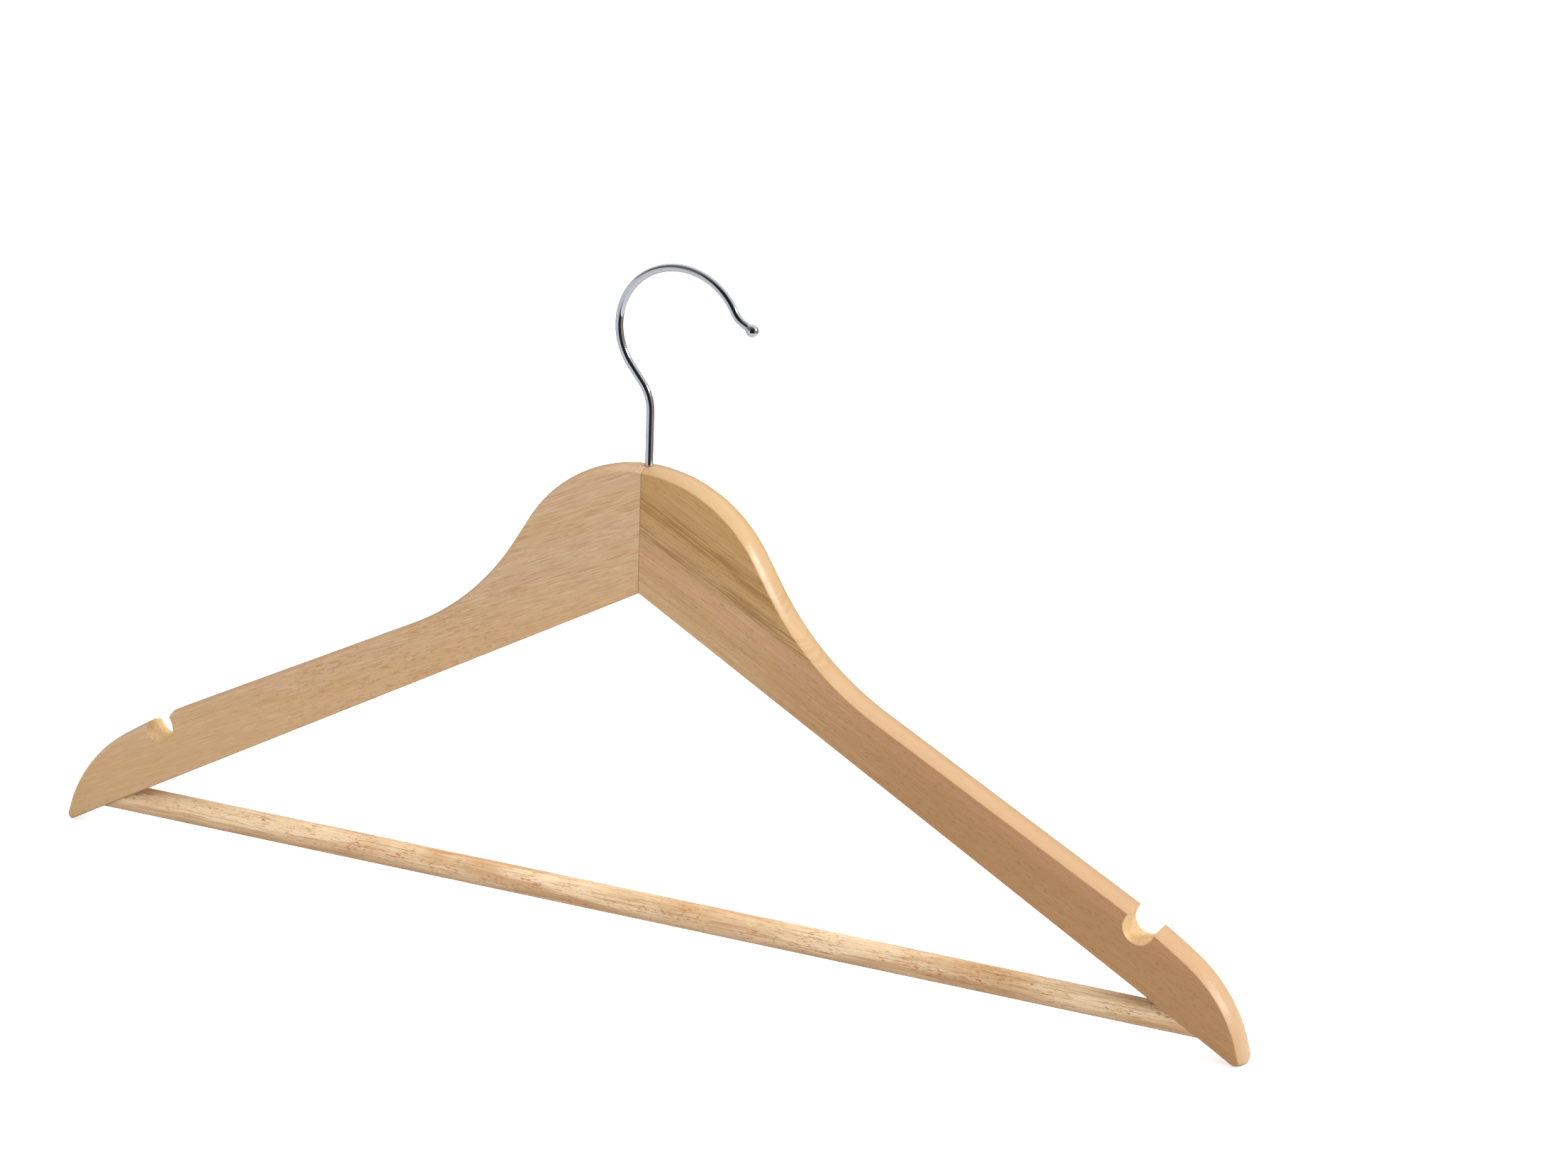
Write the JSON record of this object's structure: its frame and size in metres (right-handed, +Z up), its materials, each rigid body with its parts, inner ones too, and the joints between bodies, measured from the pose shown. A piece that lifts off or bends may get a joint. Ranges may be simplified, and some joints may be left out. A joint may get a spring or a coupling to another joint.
{
  "type": "clothes hanger",
  "caption": "Flat wooden clothes hanger with curved arms, strap notches, a round trouser bar and a swivelling chrome wire hook that ends in a ball.",
  "frame": {"origin": "on the hook's swivel axis, halfway through the wood, level with the lowest point of the arm tips", "axes": "+X along the arms to the right as seen from the front, +Y from the front face to the back face, +Z up along the hook's swivel axis"},
  "size_m": [0.4478, 0.0116, 0.2388],
  "materials": {
    "left_wood": "clear satin lacquer over pale wood with fine wavy flecks",
    "right_wood": "clear satin lacquer over pale wood with straight olive-brown streaks",
    "bar_wood": "clear satin lacquer over pale wood with reddish-brown flecks",
    "dowel_wood": "plain turned wood",
    "hook_chrome": "bright chrome plate",
    "plated_steel": "zinc plated steel"
  },
  "bodies": {
    "frame": {"left_arm": "left_wood", "right_arm": "right_wood", "trouser_bar": "bar_wood", "neck_dowels": "dowel_wood", "bar_brads": "plated_steel", "hook_washer": "plated_steel"},
    "hook": {"hook": "hook_chrome", "hook_nut": "plated_steel"}
  },
  "joints": [
    {"name": "hook_swivel", "type": "hinge", "parent": "frame", "child": "hook", "pos_m": [0, 0, 0.16], "axis": [0, 0, 1], "continuous": true}
  ]
}
